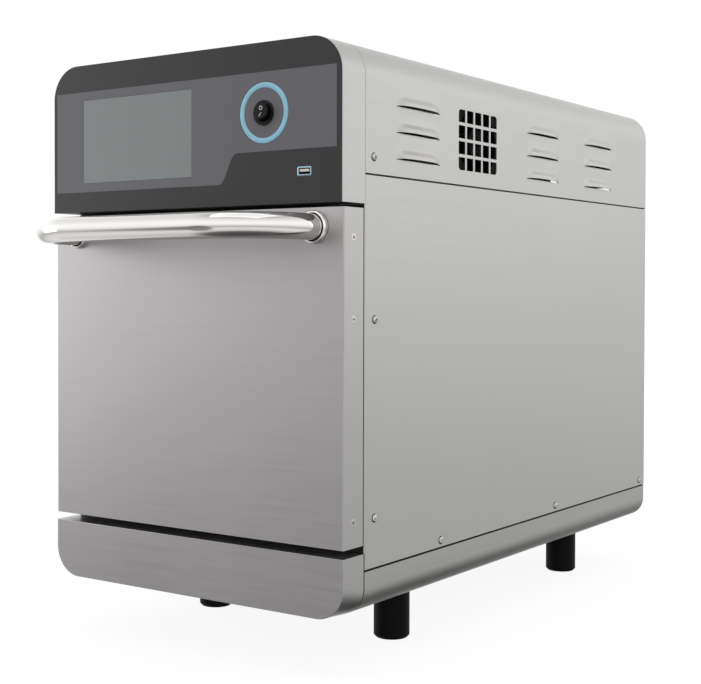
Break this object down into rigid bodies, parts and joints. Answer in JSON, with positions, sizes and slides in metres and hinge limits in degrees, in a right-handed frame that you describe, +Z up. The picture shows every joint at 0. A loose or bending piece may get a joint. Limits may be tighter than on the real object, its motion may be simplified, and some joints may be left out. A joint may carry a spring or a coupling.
{
  "type": "high-speed oven",
  "caption": "Countertop high-speed oven with a rounded steel casing, drop-down door with bowed tube handle, dark control head with display and rocker switch, on round legs.",
  "frame": {"origin": "on the floor, below the middle of the overall width and length", "axes": "+Z up, the door faces -Y, +X to the right seen from the front"},
  "size_m": [0.3722, 0.8004, 0.584],
  "materials": {
    "casing_steel": "satin, fine grain along the panel",
    "front_steel": "brushed across the front",
    "frame_black": "satin black",
    "fascia_grey": "dark grey overlay with a lighter grey field",
    "ring_blue": "translucent light blue",
    "display_glass": "grey, screen off",
    "switch_black": "black with white marks",
    "socket_steel": "bluish plated shell",
    "socket_black": "black",
    "leg_black": "satin black",
    "handle_chrome": "polished",
    "zinc_steel": "bright zinc",
    "screw_steel": "bright",
    "cavity_steel": "satin",
    "rack_wire": "bright wire",
    "seal_grey": "woven glass tape",
    "insulation_wool": "mineral wool board",
    "electronics": "green circuit board",
    "module_dark": "black",
    "catalyst_steel": "heat-tinted",
    "heater_dark": "oxidised",
    "impeller_steel": "satin",
    "motor_grey": "grey paint",
    "guide_aluminium": "mill",
    "mica": "mica sheet"
  },
  "bodies": {
    "oven_body": {"top_cover": "casing_steel", "side_panel_right": "casing_steel", "side_panel_left": "casing_steel", "base_tray": "casing_steel", "rear_panel": "casing_steel", "control_head_shell": "casing_steel", "lower_bezel": "front_steel", "front_frame": "frame_black", "control_fascia": "fascia_grey", "indicator_ring": "ring_blue", "display_glass": "display_glass", "power_switch_housing": "switch_black", "usb_socket": "socket_steel", "cable_gland": "socket_black", "cooling_fan_frame": "socket_black", "leg_front_left": "leg_black", "leg_front_right": "leg_black", "leg_rear_left": "leg_black", "leg_rear_right": "leg_black", "leg_nuts": "zinc_steel", "chassis_rails": "zinc_steel", "hinge_brackets": "zinc_steel", "casing_screws": "screw_steel", "rear_screws": "screw_steel", "cavity_liner": "cavity_steel", "upper_jet_plate": "cavity_steel", "lower_jet_plate": "cavity_steel", "rack_supports": "cavity_steel", "rear_baffle": "cavity_steel", "wire_rack": "rack_wire", "cavity_insulation": "insulation_wool", "control_board": "electronics", "power_board": "electronics", "display_module": "module_dark", "interlock_switches": "module_dark", "terminal_block": "module_dark", "catalyst_element": "catalyst_steel", "ring_heater": "heater_dark", "convection_motor": "motor_grey", "high_voltage_transformer": "motor_grey", "waveguide": "guide_aluminium", "magnetron": "guide_aluminium", "high_voltage_capacitor": "guide_aluminium", "waveguide_cover": "mica"},
    "door": {"door_outer_skin": "front_steel", "door_inner_pan": "cavity_steel", "door_insulation_pad": "insulation_wool", "door_seal": "seal_grey", "door_side_screws": "screw_steel", "door_hinge_blocks": "zinc_steel", "hinge_pins": "zinc_steel", "door_latch_hooks": "zinc_steel", "door_handle": "handle_chrome", "handle_collars": "handle_chrome", "handle_end_plugs": "zinc_steel", "handle_bolts": "zinc_steel"},
    "convection_fan": {"convection_impeller": "impeller_steel", "motor_shaft": "zinc_steel"},
    "cooling_rotor": {"cooling_fan_rotor": "socket_black"},
    "power_rocker": {"power_switch_rocker": "switch_black"}
  },
  "joints": [
    {"name": "door_hinge", "type": "hinge", "parent": "oven_body", "child": "door", "pos_m": [0, -0.29775, 0.1298], "axis": [1, 0, 0], "range_deg": [0, 90]},
    {"name": "power_switch", "type": "hinge", "parent": "oven_body", "child": "power_rocker", "pos_m": [0.0948, -0.31075, 0.519], "axis": [1, 0, 0], "range_deg": [0, 20]},
    {"name": "convection_spin", "type": "hinge", "parent": "oven_body", "child": "convection_fan", "pos_m": [0, 0, 0.267], "axis": [0, 1, 0], "continuous": true},
    {"name": "cooling_spin", "type": "hinge", "parent": "oven_body", "child": "cooling_rotor", "pos_m": [0, -0.0664, 0.50825], "axis": [1, 0, 0], "continuous": true}
  ]
}
